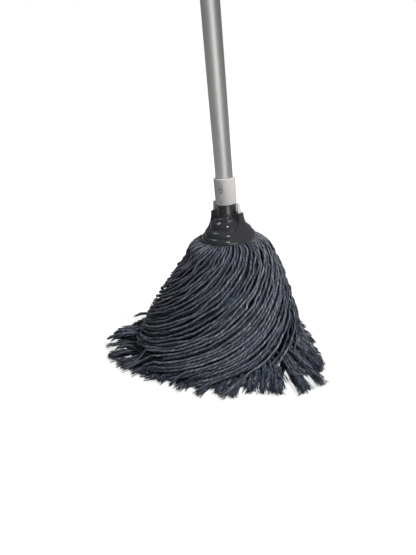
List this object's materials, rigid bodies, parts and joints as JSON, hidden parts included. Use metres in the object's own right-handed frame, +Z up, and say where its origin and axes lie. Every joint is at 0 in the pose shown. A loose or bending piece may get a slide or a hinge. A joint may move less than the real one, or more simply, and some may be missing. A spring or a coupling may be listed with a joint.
{
  "type": "string mop",
  "caption": "String mop with a tubular handle, a screwed plastic adaptor, and a stepped cap with squeeze release tabs over a swirled yarn skirt.",
  "frame": {"origin": "on the floor, on the handle's axis, under the middle of the yarn skirt", "axes": "+Z up along the handle; +X towards the skirt's steep side, -X towards its wide trailing side; -Y is the front, where the adaptor screw is"},
  "size_m": [0.3222, 0.3031, 1.429],
  "materials": {
    "tube": "satin anodised",
    "end_cap": "moulded, fine texture",
    "adaptor": "semi-matte moulded",
    "tab": "semi-matte moulded",
    "screw": "bright zinc",
    "cap": "gloss moulded",
    "ring": "galvanised wire",
    "plate": "moulded",
    "yarn": "twisted cotton and polyester yarn"
  },
  "bodies": {
    "head": {"mop_cap": "cap", "yarn_ring": "ring", "clamp_plate": "plate", "clamp_screw_1": "screw", "clamp_screw_2": "screw", "clamp_screw_3": "screw", "yarn_core": "yarn", "yarn_bundle_01": "yarn", "yarn_bundle_02": "yarn", "yarn_bundle_03": "yarn", "yarn_bundle_04": "yarn", "yarn_bundle_05": "yarn", "yarn_bundle_06": "yarn", "yarn_bundle_07": "yarn", "yarn_bundle_08": "yarn", "yarn_bundle_09": "yarn", "yarn_bundle_10": "yarn", "yarn_bundle_11": "yarn", "yarn_bundle_12": "yarn", "yarn_bundle_13": "yarn", "yarn_bundle_14": "yarn"},
    "handle": {"handle_tube": "tube", "handle_end_cap": "end_cap", "handle_adaptor": "adaptor", "adaptor_screw": "screw"},
    "tab_right": {"release_tab_right": "tab"},
    "tab_left": {"release_tab_left": "tab"}
  },
  "joints": [
    {"name": "head_release", "type": "slide", "parent": "head", "child": "handle", "axis": [0, 0, 1], "range_m": [0, 0.045]},
    {"name": "release_tab_right_press", "type": "hinge", "parent": "head", "child": "tab_right", "pos_m": [0.01662, -0.01395, 0.2138], "axis": [-0.6428, -0.766, 0], "range_deg": [0, 7], "stiffness_Nm_per_rad": 0.3},
    {"name": "release_tab_left_press", "type": "hinge", "parent": "head", "child": "tab_left", "pos_m": [-0.01662, 0.01395, 0.2138], "axis": [0.6428, 0.766, 0], "range_deg": [0, 7], "stiffness_Nm_per_rad": 0.3}
  ]
}
